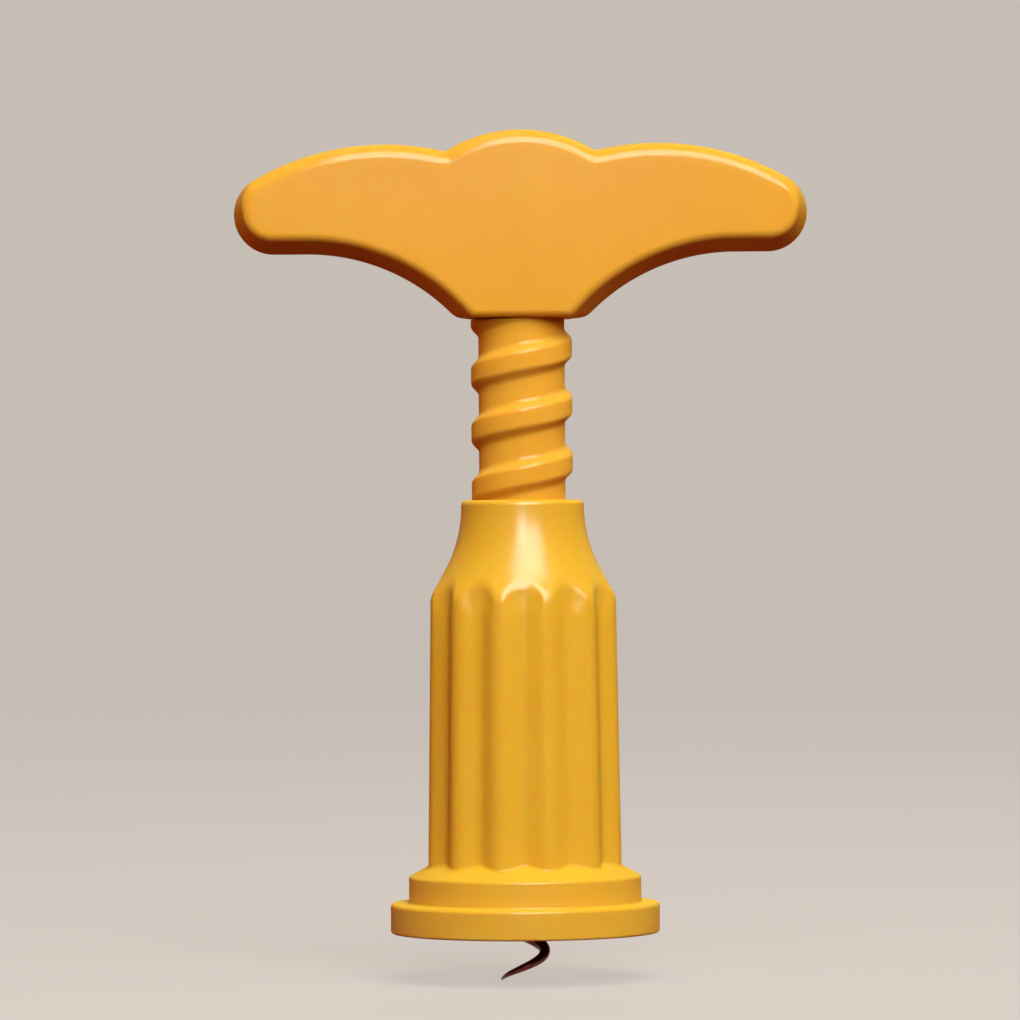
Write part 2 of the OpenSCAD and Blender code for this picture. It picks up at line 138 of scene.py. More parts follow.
def makePiece(name, shells, body, nodes, material):
    # shells are pairs of points (n, 3) and lists of index rows, joined into one mesh
    points = np.concatenate([shell[0] for shell in shells]) * metre
    faces = []
    start = 0
    for shellPoints, shellFaces in shells:
        for block in shellFaces:
            faces.extend((np.asarray(block) + start).tolist())
        start += len(shellPoints)
    mesh = bpy.data.meshes.new(name)
    mesh.from_pydata(points.tolist(), [], faces)
    # points fall together where the neck's inner thread is cut level
    joined = bmesh.new()
    joined.from_mesh(mesh)
    bmesh.ops.remove_doubles(joined, verts=joined.verts, dist=mergeWithin)
    joined.to_mesh(mesh)
    joined.free()
    mesh.shade_smooth()
    mesh.set_sharp_from_angle(angle=math.radians(sharpAngle))
    mesh.materials.append(material)
    piece = bpy.data.objects.new(name, mesh)
    bpy.context.collection.objects.link(piece)
    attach(piece, body)
    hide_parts(*nodes)
    print("piece", name, len(mesh.polygons), "faces")


# Materials

def newGroup(name, inputs):
    # every group puts out a colour, a roughness and a height
    outputs = {"Color": "NodeSocketColor", "Roughness": "NodeSocketFloat", "Height": "NodeSocketFloat"}
    group = bpy.data.node_groups.new(name, "ShaderNodeTree")
    for label, kind in inputs.items():
        group.interface.new_socket(label, in_out="INPUT", socket_type=kind)
    for label, kind in outputs.items():
        group.interface.new_socket(label, in_out="OUTPUT", socket_type=kind)
    return group, group.nodes.new("NodeGroupInput"), group.nodes.new("NodeGroupOutput")


def addNode(tree, kind, inputs=None, **settings):
    node = tree.nodes.new(kind)
    for key, value in settings.items():
        setattr(node, key, value)
    for key, value in (inputs or {}).items():
        if isinstance(value, bpy.types.NodeSocket):
            tree.links.new(value, node.inputs[key])
        else:
            node.inputs[key].default_value = value
    return node


def mathNode(tree, operation, a, b):
    return addNode(tree, "ShaderNodeMath", {0: a, 1: b}, operation=operation).outputs[0]


def weightedSum(tree, a, shareA, b, shareB):
    partA = mathNode(tree, "MULTIPLY", a, shareA)
    partB = mathNode(tree, "MULTIPLY", b, shareB)
    return mathNode(tree, "ADD", partA, partB)


def colourMix(tree, factor, a, b):
    # inputs 0, 6 and 7 are the factor and the two colours, output 2 is the mixed colour
    return addNode(tree, "ShaderNodeMix", {0: factor, 6: a, 7: b}, data_type="RGBA").outputs[2]


def noiseNode(tree, vector, scale, detail, stretch=None):
    if stretch:
        longer = addNode(tree, "ShaderNodeVectorMath", {0: vector, 1: stretch}, operation="MULTIPLY")
        vector = longer.outputs[0]
    noise = addNode(tree, "ShaderNodeTexNoise", {"Vector": vector, "Scale": scale, "Detail": detail})
    return noise.outputs["Fac"]


def rangeNode(tree, value, low, high, toLow, toHigh):
    node = addNode(tree, "ShaderNodeMapRange", {"Value": value, "From Min": low, "From Max": high,
                                                "To Min": toLow, "To Max": toHigh})
    return node.outputs[0]


# noise: scale per metre (42 gives clouds about 24 mm across), detail, and stretch where it has one
# ranges: from low, from high, to low, to high. shares: how much a layer adds to depth, gloss or height
mouldedNoise = {
    "cloud": (42, 3), "streak": (260, 2, (1, 1, 0.14)), "rub": (900, 3), "smear": (75, 4),
    "hairLevel": (1500, 1, (0.05, 1, 1)), "hairUp": (1300, 1, (1, 1, 0.06)),
    "peel": (420, 2), "wave": (55, 1), "grain": (3200, 1),
}
mouldedRange = {
    "depth": (0.38, 0.66, 0, 1), "worn": (0.53, 0.62, 0, 0.55), "rub": (0.4, 0.65, 0, 1),
    "smear": (0.42, 0.7, -0.03, 0.09), "hairLevel": (0.68, 0.75, 0, 0.1), "hairUp": (0.69, 0.76, 0, 0.1),
}
mouldedShare = {
    "cloud": 0.7, "streak": 0.3, "wear": 0.15, "peel": 0.2, "wave": 1.0, "grain": 0.03, "hairs": 0.3,
}
metalNoise = {"blotch": (320, 4), "lines": (2600, 2, (1, 1, 0.25))}
metalRange = {"depth": (0.35, 0.65, 0, 1), "blur": (0.3, 0.7, -0.06, 0.12)}
metalShare = {"blotch": 0.6, "lines": 0.4}


def mouldedGroup():
    # moulded plastic: cloudy tone, flow streaks, scuffed edges, smears and hair scratches in the gloss
    noise, span, share = mouldedNoise, mouldedRange, mouldedShare
    group, entry, leave = newGroup("mouldedPlastic", {
        "Tone": "NodeSocketColor", "Deep": "NodeSocketColor", "Scuff": "NodeSocketColor",
        "Gloss": "NodeSocketFloat"})
    place = addNode(group, "ShaderNodeTexCoord").outputs["Object"]
    cloud = noiseNode(group, place, *noise["cloud"])
    streak = noiseNode(group, place, *noise["streak"])
    flow = weightedSum(group, cloud, share["cloud"], streak, share["streak"])
    depth = rangeNode(group, flow, *span["depth"])
    tone = colourMix(group, depth, entry.outputs["Tone"], entry.outputs["Deep"])
    edge = addNode(group, "ShaderNodeNewGeometry").outputs["Pointiness"]
    worn = rangeNode(group, edge, *span["worn"])
    rub = rangeNode(group, noiseNode(group, place, *noise["rub"]), *span["rub"])
    wear = mathNode(group, "MULTIPLY", worn, rub)
    colour = colourMix(group, wear, tone, entry.outputs["Scuff"])
    smear = rangeNode(group, noiseNode(group, place, *noise["smear"]), *span["smear"])
    hairLevel = rangeNode(group, noiseNode(group, place, *noise["hairLevel"]), *span["hairLevel"])
    hairUp = rangeNode(group, noiseNode(group, place, *noise["hairUp"]), *span["hairUp"])
    hairs = mathNode(group, "ADD", hairLevel, hairUp)
    gloss = mathNode(group, "ADD", entry.outputs["Gloss"], smear)
    gloss = mathNode(group, "ADD", gloss, hairs)
    gloss = mathNode(group, "ADD", gloss, mathNode(group, "MULTIPLY", wear, share["wear"]))
    peel = noiseNode(group, place, *noise["peel"])
    wave = noiseNode(group, place, *noise["wave"])
    grain = noiseNode(group, place, *noise["grain"])
    height = weightedSum(group, peel, share["peel"], wave, share["wave"])
    height = mathNode(group, "ADD", height, mathNode(group, "MULTIPLY", grain, share["grain"]))
    height = mathNode(group, "SUBTRACT", height, mathNode(group, "MULTIPLY", hairs, share["hairs"]))
    group.links.new(colour, leave.inputs["Color"])
    group.links.new(gloss, leave.inputs["Roughness"])
    group.links.new(height, leave.inputs["Height"])
    return group


def metalGroup():
    # drawn wire and turned heads: fine lines along the work, blotches in the finish
    noise, span, share = metalNoise, metalRange, metalShare
    group, entry, leave = newGroup("drawnMetal", {
        "Tone": "NodeSocketColor", "Deep": "NodeSocketColor", "Gloss": "NodeSocketFloat"})
    place = addNode(group, "ShaderNodeTexCoord").outputs["Object"]
    blotch = noiseNode(group, place, *noise["blotch"])
    lines = noiseNode(group, place, *noise["lines"])
    both = weightedSum(group, blotch, share["blotch"], lines, share["lines"])
    depth = rangeNode(group, both, *span["depth"])
    colour = colourMix(group, depth, entry.outputs["Tone"], entry.outputs["Deep"])
    gloss = mathNode(group, "ADD", entry.outputs["Gloss"], rangeNode(group, blotch, *span["blur"]))
    group.links.new(colour, leave.inputs["Color"])
    group.links.new(gloss, leave.inputs["Roughness"])
    group.links.new(lines, leave.inputs["Height"])
    return group


def groupMaterial(name, group, values, bump, shader):
    # bump is the distance in millimetres and the strength; shader holds the shader's own constants
    material = bpy.data.materials.new(name)
    material.use_nodes = True
    tree = material.node_tree
    principled = tree.nodes["Principled BSDF"]
    detail = addNode(tree, "ShaderNodeGroup", node_tree=group)
    for key, value in values.items():
        detail.inputs[key].default_value = value
    relief = addNode(tree, "ShaderNodeBump", {"Height": detail.outputs["Height"],
                                              "Distance": bump[0] * metre, "Strength": bump[1]})
    tree.links.new(detail.outputs["Color"], principled.inputs["Base Color"])
    tree.links.new(detail.outputs["Roughness"], principled.inputs["Roughness"])
    tree.links.new(relief.outputs["Normal"], principled.inputs["Normal"])
    for key, value in shader.items():
        principled.inputs[key].default_value = value
    return material


def polishEnds(material, polish):
    # the coat is fuller on the foot and on the neck than on the flutes between them
    tree = material.node_tree
    place = addNode(tree, "ShaderNodeTexCoord").outputs["Object"]
    height = addNode(tree, "ShaderNodeSeparateXYZ", {0: place}).outputs["Z"]
    footLow, footHigh = [z * metre for z in polish["footZone"]]
    neckLow, neckHigh = [z * metre for z in polish["neckZone"]]
    foot = rangeNode(tree, height, footLow, footHigh, polish["foot"], polish["flutes"])
    neck = rangeNode(tree, height, neckLow, neckHigh, polish["flutes"], polish["neck"])
    coat = mathNode(tree, "MAXIMUM", foot, neck)
    tree.links.new(coat, tree.nodes["Principled BSDF"].inputs["Coat Weight"])


def polishTops(material, polish):
    # the coat is fuller where a surface looks up
    tree = material.node_tree
    facing = addNode(tree, "ShaderNodeNewGeometry").outputs["Normal"]
    upward = addNode(tree, "ShaderNodeSeparateXYZ", {0: facing}).outputs["Z"]
    coat = rangeNode(tree, upward, 0.0, polish["fullFrom"], polish["sides"], polish["tops"])
    tree.links.new(coat, tree.nodes["Principled BSDF"].inputs["Coat Weight"])


bellTones = {"Tone": (0.68, 0.405, 0.027, 1), "Deep": (0.665, 0.385, 0.024, 1),
             "Scuff": (0.76, 0.5, 0.09, 1), "Gloss": 0.24}
handleTones = {"Tone": (0.70, 0.375, 0.036, 1), "Deep": (0.685, 0.355, 0.031, 1),
               "Scuff": (0.78, 0.46, 0.09, 1), "Gloss": 0.26}
spindleTones = {**handleTones, "Gloss": 0.27}
nylonTones = {"Tone": (0.78, 0.73, 0.6, 1), "Deep": (0.7, 0.64, 0.5, 1), "Scuff": (0.85, 0.82, 0.72, 1),
              "Gloss": 0.42}
# the worm's dark red-brown is painted reflection of the amber plastic and painted shade under the bell, set
# into the steel's own colour
wormPaintedReflectionTones = {"Tone": (0.2, 0.042, 0.026, 1), "Deep": (0.09, 0.016, 0.01, 1), "Gloss": 0.24}
fastenerTones = {"Tone": (0.62, 0.61, 0.6, 1), "Deep": (0.45, 0.44, 0.42, 1), "Gloss": 0.3}

amberShader = {"Specular IOR Level": 0.0, "Coat IOR": 4.0, "Coat Roughness": 0.28,
               "Subsurface Weight": 0.8, "Subsurface Radius": (1.0, 0.4, 0.15), "Subsurface Scale": 0.0009}
handleShader = {**amberShader, "Coat Roughness": 0.12}
spindleShader = {**amberShader, "Coat Roughness": 0.24, "Subsurface Scale": 0.0016}
nylonShader = {"Subsurface Weight": 0.3, "Subsurface Radius": (1.0, 0.8, 0.5), "Subsurface Scale": 0.002}

amberRelief, nylonRelief = (0.05, 0.3), (0.05, 0.4)
wormRelief, fastenerRelief = (0.02, 0.3), (0.02, 0.4)
bellPolish = {"flutes": 0.03, "foot": 0.08, "footZone": (11.0, 13.0),
              "neck": 0.125, "neckZone": (57.0, 61.5)}
topPolish = {"sides": 0.012, "tops": 0.07, "fullFrom": 0.2}

moulded = mouldedGroup()
drawn = metalGroup()
amberBell = groupMaterial("amberBell", moulded, bellTones, amberRelief, amberShader)
amberSpindle = groupMaterial("amberSpindle", moulded, spindleTones, amberRelief, spindleShader)
amberHandle = groupMaterial("amberHandle", moulded, handleTones, amberRelief, handleShader)
polishEnds(amberBell, bellPolish)
polishTops(amberSpindle, topPolish)
polishTops(amberHandle, topPolish)
nylon = groupMaterial("naturalNylon", moulded, nylonTones, nylonRelief, nylonShader)
wormSteel = groupMaterial("wormSteel", drawn, wormPaintedReflectionTones, wormRelief, {"Metallic": 0.75})
fastenerSteel = groupMaterial("fastenerSteel", drawn, fastenerTones, fastenerRelief, {"Metallic": 1.0})
print("materials made")


# Bell: r(a, z) = softMax(softMin(column, shoulder), cone). The column is the leaning ridge less the flutes,
# depth ((1 + cos 12 a) / 2) ^ fall, and the shoulder runs up into the neck's flare. The rest is turned

bellSize = {
    "height": 77.8, "flange": (24.2, 5.4), "step": (20.9, 10.141),
    "ringEdge": 0.65, "lowEdge": 0.45, "stepRoot": 0.35,
    "coneStart": (20.4225, 10.3947), "coneAngle": 28, "coneRound": 1.0, "coneJoin": (20.22, 10.502),
    "ridge": (17.85, 10.5), "ridgeLean": 0.01495, "shoulder": (17.1, 60.675), "shoulderAngle": 36,
    "neck": 11.05, "flare": 24.0, "flareTop": 76.8, "neckJoin": 76.7, "rimEdge": 0.9,
    "flutes": 12, "fluteDepth": 1.6, "fluteFall": 1.1,
    "endRadius": 4.8, "endDepth": 1.7, "endZone": (57.0, 60.5), "ridgeRound": 1.1, "archRound": 1.0,
    "mouth": 21.4, "mouthTop": 4.6, "socket": 15.4, "seat": 10.5, "bore": 13.3,
    "neckFloor": 62.6, "neckBore": 9.4, "underside": (22.8, 22.2), "columns": 288,
    # roundings inside, from the rim down
    "inner": {"rim": 0.25, "floor": 0.2, "roof": 0.3, "seat": 0.2, "socket": 0.3, "lead": 0.6, "mouth": 0.4},
    # heights from, to and number of rows on the fluted part, close where it bends
    "rows": ((10.55, 14.4, 40), (15.2, 56.2, 12), (56.6, 67.2, 66), (67.5, 76.6, 26)),
}
# a ridge is root wide at the core and top wide at its crest; zero is its height at angle 0
threadSize = {
    "pitch": 10.3, "core": 7.75, "crest": 9.1, "root": 5.9, "top": 3.3, "zero": 94.95, "gap": 0.3,
    "from": 54.35, "lead": 0.3, "crestRound": 0.45, "rootRound": 0.5,
    "ribTurns": (-3.8, -2.0), "ribSteps": 200, "ribEnds": (63.1, 77.3), "ribFoot": 10.2, "ribSpread": 2.1,
    "ribRound": 0.35,
}


def bellRadius(z, angle):
    size = bellSize
    z = z[:, None]
    coneR, coneZ = size["coneStart"]
    cone = coneR - (z - coneZ) / math.tan(math.radians(size["coneAngle"]))
    ridge = size["ridge"][0] - size["ridgeLean"] * (z - size["ridge"][1])
    lean = math.radians(size["shoulderAngle"])
    shoulder = size["shoulder"][0] - (z - size["shoulder"][1]) * math.tan(lean)
    flareDrop = size["flare"] * math.sin(lean)
    below = np.clip(size["flareTop"] - z, 0, flareDrop)
    flare = size["neck"] + size["flare"] - np.sqrt(size["flare"] ** 2 - below ** 2)
    shoulder = np.where(z > size["flareTop"] - flareDrop, flare, shoulder)
    sector = 2 * math.pi / size["flutes"]
    off = (angle + math.pi / 2 + sector / 2) % sector - sector / 2
    column = ridge - size["fluteDepth"] * ((1 + np.cos(size["flutes"] * off)) / 2) ** size["fluteFall"]
    # near its upper end a flute turns into a round hollow, whose meeting with the shoulder is an arch
    reach = ridge - size["endDepth"] + size["endRadius"]
    half = np.clip(size["endRadius"] ** 2 - (reach * np.sin(off)) ** 2, 0, None)
    hollow = softMin(ridge, reach * np.cos(off) - np.sqrt(half), size["ridgeRound"])
    low, high = size["endZone"]
    column = column + (hollow - column) * smoothStep((z - low) / (high - low))
    return softMax(softMin(column, shoulder, size["archRound"]), cone, size["coneRound"])


def bellShells():
    # one closed section, each corner given as radius, height and rounding: up the outside, down the inside
    size = bellSize
    edge = size["inner"]
    columns = size["columns"]
    angle = fullTurn(columns)
    flangeR, flangeTop = size["flange"]
    stepR, stepCorner = size["step"]
    outer, inner = size["underside"]
    base = roundedPath([
        (outer, 0), (flangeR, 0, size["lowEdge"]), (flangeR, flangeTop, size["ringEdge"]),
        (stepR, flangeTop, size["stepRoot"]), (stepR, stepCorner, size["ringEdge"]), size["coneJoin"]])
    fluted = np.concatenate([np.linspace(*row) for row in size["rows"]])
    inside = roundedPath([
        (size["neck"], size["neckJoin"]), (size["neck"], size["height"], size["rimEdge"]),
        (size["neckBore"], size["height"], edge["rim"]),
        (size["neckBore"], size["neckFloor"], edge["floor"]),
        (size["bore"], size["neckFloor"], edge["roof"]), (size["bore"], size["seat"], edge["seat"]),
        (size["socket"], size["seat"], edge["socket"]), (size["socket"], size["mouthTop"], edge["lead"]),
        (size["mouth"], 0, edge["mouth"]), (inner, 0)])
    height = np.concatenate([base[:, 1], fluted, inside[:, 1]])
    radius = np.concatenate([turnedRows(base, columns), bellRadius(fluted, angle),
                             turnedRows(inside, columns)])
    return [closedShell(radius, height, angle), nutRib()]


def nutRib():
    # the neck's inner thread, between the spindle's ridges: a rounded tooth carried up the helix
    # and cut level at both ends
    size = threadSize
    turns = np.linspace(*size["ribTurns"], size["ribSteps"])
    flank = (size["root"] - size["top"]) / 2 / (size["crest"] - size["core"])
    tip = size["core"] + size["gap"]
    tipHalf = (size["pitch"] - size["root"] - 2 * size["gap"] * (1 - flank)) / 2
    footHalf = tipHalf + size["ribSpread"] * flank
    section = roundedPath([(size["ribFoot"], -footHalf), (tip, -tipHalf, size["ribRound"]),
                           (tip, tipHalf, size["ribRound"]), (size["ribFoot"], footHalf)], steps=4)
    radius = section[:, 0]
    z = np.clip(size["zero"] + size["pitch"] * (turns[:, None] + 0.5) + section[:, 1], *size["ribEnds"])
    a = 2 * math.pi * turns[:, None]
    points = np.stack([radius * np.cos(a), radius * np.sin(a), z], axis=-1).reshape(-1, 3)
    return points, tubeFaces(len(turns), len(section))


makePiece("bellBody", bellShells(), "bell", ["bell"], amberBell)


# Spindle: r = core + tooth(d), d the distance along the axis from the nearest ridge of the helix

spindleSize = {
    "foot": 46.15, "journalTop": 48.45, "journal": 5.6, "coreFrom": 49.3, "ridgedFrom": 49.5,
    "ridgeTop": 110.2, "top": 110.5, "stem": 6.0, "stemTop": 127.5, "bore": 2.4,
    "plug": 4.23, "plugTop": 54.3,
    "block": (19.9, 13.1, 5.5), "blockFoot": 113.45, "rows": 300, "columns": 168,
    # roundings, and the short steps at which the sections begin and end
    "footEdge": 0.25, "journalRoot": 0.1, "coreEdge": 0.5, "headEdge": 0.12, "stemEdge": 0.4,
    "boreEdge": 0.2, "fineEdge": 0.1, "headGap": 0.02, "plugGap": 0.2,
}


def threadRadius(z, angle):
    size = threadSize
    d = z[:, None] - size["zero"] - size["pitch"] * angle / (2 * math.pi)
    off = (d + size["pitch"] / 2) % size["pitch"] - size["pitch"] / 2
    ridge = z[:, None] - off
    # the lowest ridge grows out of the core over a part of a turn
    grow = smoothStep((ridge - size["from"]) / (size["lead"] * size["pitch"]))
    rise = size["crest"] - size["core"]
    flank = (size["root"] / 2 - np.abs(off)) * rise / ((size["root"] - size["top"]) / 2)
    return size["core"] + grow * softMax(softMin(flank, rise, size["crestRound"]), 0, size["rootRound"])


def spindleShells():
    size = spindleSize
    core = threadSize["core"]
    columns = size["columns"]
    angle = fullTurn(columns)
    foot = roundedPath([
        (size["plug"], size["foot"]), (size["journal"], size["foot"], size["footEdge"]),
        (size["journal"], size["journalTop"], size["journalRoot"]),
        (core, size["journalTop"], size["coreEdge"]), (core, size["coreFrom"])], steps=5, support=0.08)
    ridged = np.linspace(size["ridgedFrom"], size["ridgeTop"], size["rows"])
    head = roundedPath([
        (core, size["ridgeTop"] + size["headGap"]), (core, size["top"], size["headEdge"]),
        (size["stem"], size["top"], size["fineEdge"]), (size["stem"], size["stemTop"], size["stemEdge"]),
        (size["bore"], size["stemTop"], size["boreEdge"]), (size["bore"], size["plugTop"], size["fineEdge"]),
        (size["plug"], size["plugTop"], size["fineEdge"]),
        (size["plug"], size["foot"] + size["plugGap"])], steps=4, support=0.06)
    height = np.concatenate([foot[:, 1], ridged, head[:, 1]])
    radius = np.concatenate([turnedRows(foot, columns), threadRadius(ridged, angle),
                             turnedRows(head, columns)])
    w, d, h = size["block"]
    z = size["blockFoot"]
    return [closedShell(radius, height, angle), boxShell((-w / 2, -d / 2, z), (w / 2, d / 2, z + h))]


makePiece("spindleScrew", spindleShells(), "screw", ["spindle"], amberSpindle)


# Lower end: stop washer and bush are turned from rounded sections

washerSize = {"inner": 5.68, "outer": 12.9, "foot": 46.3, "top": 48.3,
              "outerEdge": 0.3, "innerEdge": 0.15, "gap": 0.1}
bushSize = {"bore": 1.48, "flange": 7.3, "chamfer": 0.8, "foot": 43.65, "seat": 46.15, "plug": 4.2,
            "plugTop": 54.15, "underside": (4.0, 3.9),
            "chamferEdge": 0.3, "seatEdge": 0.25, "plugRoot": 0.1, "plugEdge": 0.5, "boreEdges": (0.2, 0.25)}


def turnedShell(corners, columns=96):
    section = roundedPath(corners, steps=6, support=0.06)
    return closedShell(section[:, :1], section[:, 1], fullTurn(columns))


def washerShell():
    inner, outer = washerSize["inner"], washerSize["outer"]
    foot, top = washerSize["foot"], washerSize["top"]
    wide, fine = washerSize["outerEdge"], washerSize["innerEdge"]
    middle = (inner + outer) / 2
    return turnedShell([(middle, foot), (outer, foot, wide), (outer, top, wide), (inner, top, fine),
                        (inner, foot, fine), (middle - washerSize["gap"], foot)])


def bushShell():
    bore, flange, plug = bushSize["bore"], bushSize["flange"], bushSize["plug"]
    foot, seat, top = bushSize["foot"], bushSize["seat"], bushSize["plugTop"]
    chamfer, edge = bushSize["chamfer"], bushSize["chamferEdge"]
    outer, inner = bushSize["underside"]
    boreTop, boreFoot = bushSize["boreEdges"]
    return turnedShell([(outer, foot), (flange - chamfer, foot, edge), (flange, foot + chamfer, edge),
                        (flange, seat, bushSize["seatEdge"]), (plug, seat, bushSize["plugRoot"]),
                        (plug, top, bushSize["plugEdge"]), (bore, top, boreTop), (bore, foot, boreFoot),
                        (inner, foot)])


makePiece("stopWasher", [washerShell()], "stop_ring", ["stop_washer"], nylon)
makePiece("endBush", [bushShell()], "screw", ["end_bush"], nylon)


# Worm: a round section carried along p(z) = (reach cos t, reach sin t, z),
# t = 360 (0.5 + (z + drop) / pitch) degrees

wormSize = {
    "wire": 1.4, "coil": 4.45, "pitch": 10.3, "drop": 8.5,
    "pointTurn": 1.3, "pointShare": 0.1, "pointRise": 0.75, "coilShare": 0.97, "pointLength": 3.0,
    "coilTop": 38.05, "shankFoot": 42.65, "shankTop": 119.0, "tang": (4.2, 1.5, 118.0, 126.0),
    "pointRows": 60, "coilRows": 330, "shankRows": 16, "sides": 24, "coilAfter": 0.1, "shankAfter": 2,
}


def wormAt(z):
    # the wire thins towards the point by its share, and above the coil it goes over into the shank
    size = wormSize
    t = np.clip((z + size["drop"]) / (size["pitch"] * size["pointTurn"]), 0, 1)
    thick = np.sin(0.5 * math.pi * t ** size["pointRise"])
    share = size["pointShare"] + (size["coilShare"] - size["pointShare"]) * thick
    blend = smoothStep((z - size["coilTop"]) / (size["shankFoot"] - size["coilTop"]))
    wire = size["wire"] * (share + (1 - share) * blend)
    reach = (size["coil"] - wire) * (1 - blend)
    a = 2 * math.pi * (0.5 + (z + size["drop"]) / size["pitch"])
    return np.stack([reach * np.cos(a), reach * np.sin(a), z], axis=-1), wire, a


def wormShells():
    size = wormSize
    point = -size["drop"] + np.linspace(0, 1, size["pointRows"]) ** 2 * size["pointLength"]
    coil = np.linspace(point[-1] + size["coilAfter"], size["shankFoot"], size["coilRows"])
    shank = np.linspace(size["shankFoot"] + size["shankAfter"], size["shankTop"], size["shankRows"])
    z = np.concatenate([point, coil, shank])
    centre, wire, a = wormAt(z)
    step = 0.01
    along = wormAt(z + step)[0] - wormAt(z - step)[0]
    along /= np.linalg.norm(along, axis=1, keepdims=True)
    out = np.stack([np.cos(a), np.sin(a), np.zeros_like(a)], axis=-1)
    side = out - np.sum(out * along, axis=1, keepdims=True) * along
    side /= np.linalg.norm(side, axis=1, keepdims=True)
    across = np.cross(along, side)
    turn = fullTurn(size["sides"])[:, None]
    ring = np.cos(turn) * side[:, None, :] + np.sin(turn) * across[:, None, :]
    points = (centre[:, None, :] + wire[:, None, None] * ring).reshape(-1, 3)
    w, t, low, high = size["tang"]
    tang = boxShell((-w / 2, -t / 2, low), (w / 2, t / 2, high))
    return [(points, tubeFaces(len(z), size["sides"])), tang]


makePiece("wormWire", wormShells(), "screw", ["worm"], wormSteel)


# Handle: the outline is a chain of arcs that touch. Drawn in by d, a round arc's radius loses d and a
# hollow arc's gains it; the corner of the foot is fitted anew between the underside and the hollow

handleSize = {
    "foot": 110.5, "half": 9.5, "wall": 2.8, "ceiling": 6.7,
    "seam": 0.14, "seamStep": 0.12, "faceInset": 0.25,
    # draft and edge rounding of the upper sides, the lower sides and the foot
    "top": (5, 2.4), "under": (13, 1.6), "plain": (0, 1.3), "edgeRows": 24,
    "wingCentre": (24.5, -15.55), "wingArc": 47.0, "crestCentre": (0.0, 8.5), "crestArc": 25.5,
    "notch": 1.6, "span": 51.6, "wingLow": 11.7, "flat": 5.9,
    "footHalf": 11.7, "footRound": 3.5, "footShrink": 0.9, "footLeast": 0.8,
    "steps": {"corner": 14, "hollow": 44, "tip": 44, "wing": 52, "notch": 18, "crest": 24},
    "screws": ((-33.0, 20.0), (33.0, 20.0), (0.0, 25.6)), "boss": 4.28, "holeColumns": 40,
    "clearHole": 1.43, "seat": 6.0, "counterbore": 2.68, "mouthRing": 0.6,
    "pilotHole": 1.38, "pilotDepth": 6.0, "pilotEnd": 0.05,
    "bossEdge": 0.2, "holeEdge": 0.15, "holeRoot": 0.1, "mouthEdge": 0.3,
}


def arcOf(centre, radius, start, end, steps):
    # p(a) = centre + radius (cos a, sin a), a from start to end in degrees
    a = np.radians(np.linspace(start, end, steps))
    return np.array(centre) + radius * np.stack([np.cos(a), np.sin(a)], axis=-1)


def bearing(fromPoint, toPoint):
    return math.degrees(math.atan2(toPoint[1] - fromPoint[1], toPoint[0] - fromPoint[0]))


def sideInset(depth, draft, edge):
    # how far a side is drawn in at this depth: along its draft, then round an edge that touches the face
    tilt = math.radians(draft)
    slope = math.tan(tilt)
    centre = handleSize["half"] - edge
    s = np.clip((depth - centre) / edge, math.sin(tilt), 1)
    around = centre * slope + edge / math.cos(tilt) - edge * np.sqrt(1 - s * s)
    return np.where(depth < centre + edge * math.sin(tilt), depth * slope, around)


def handleOutline(top, inset, low):
    # top and inset are how far the upper and lower sides are drawn in, low is how far the foot is raised
    size = handleSize
    steps = size["steps"]
    wing, crest = np.array(size["wingCentre"]), np.array(size["crestCentre"])
    # the notch's circle touches crest and wing from outside
    reachCrest, reachWing = size["crestArc"] + size["notch"], size["wingArc"] + size["notch"]
    apart = np.linalg.norm(wing - crest)
    u = (wing - crest) / apart
    along = (reachCrest ** 2 - reachWing ** 2 + apart ** 2) / (2 * apart)
    notch = crest + along * u + math.sqrt(reachCrest ** 2 - along ** 2) * np.array([-u[1], u[0]])
    # the tip's circle touches the wing's arc inside, the span's end and the flat under the wing
    p, q = size["span"] - wing[0], size["wingLow"] - wing[1]
    b = 2 * (size["wingArc"] - p + q)
    tipRadius = (math.sqrt(b * b - 4 * (p * p + q * q - size["wingArc"] ** 2)) - b) / 2
    tip = np.array([size["span"] - tipRadius, size["wingLow"] + tipRadius])
    # the hollow is level where the flat begins, and ends at the foot
    hollowX = tip[0] - size["flat"]
    hollowRadius = ((hollowX - size["footHalf"]) ** 2 + size["wingLow"] ** 2) / (2 * size["wingLow"])
    hollow = np.array([hollowX, size["wingLow"] - hollowRadius])
    r = max(size["footRound"] - size["footShrink"] * inset, size["footLeast"])
    rise = low + r - hollow[1]
    corner = np.array([hollow[0] - math.sqrt((hollowRadius + inset + r) ** 2 - rise ** 2), low + r])
    # on the upper half of the tip the lower side goes over into the upper one
    swing = smoothStep(np.linspace(-1.0, 1, steps["tip"]))[:, None]
    tipArc = tipRadius - inset - (top - inset) * swing
    right = np.concatenate([
        arcOf(corner, r, -90, bearing(corner, hollow), steps["corner"]),
        arcOf(hollow, hollowRadius + inset, bearing(hollow, corner), 90, steps["hollow"])[1:],
        arcOf(tip, tipArc, -90, bearing(wing, tip), steps["tip"]),
        arcOf(wing, size["wingArc"] - top, bearing(wing, tip), bearing(wing, notch), steps["wing"])[1:],
        arcOf(notch, size["notch"] + top, bearing(notch, wing), bearing(notch, crest), steps["notch"])[1:],
        arcOf(crest, size["crestArc"] - top, bearing(crest, notch), 90, steps["crest"])[1:]])
    return np.concatenate([right, right[-2::-1] * np.array([-1.0, 1.0])])


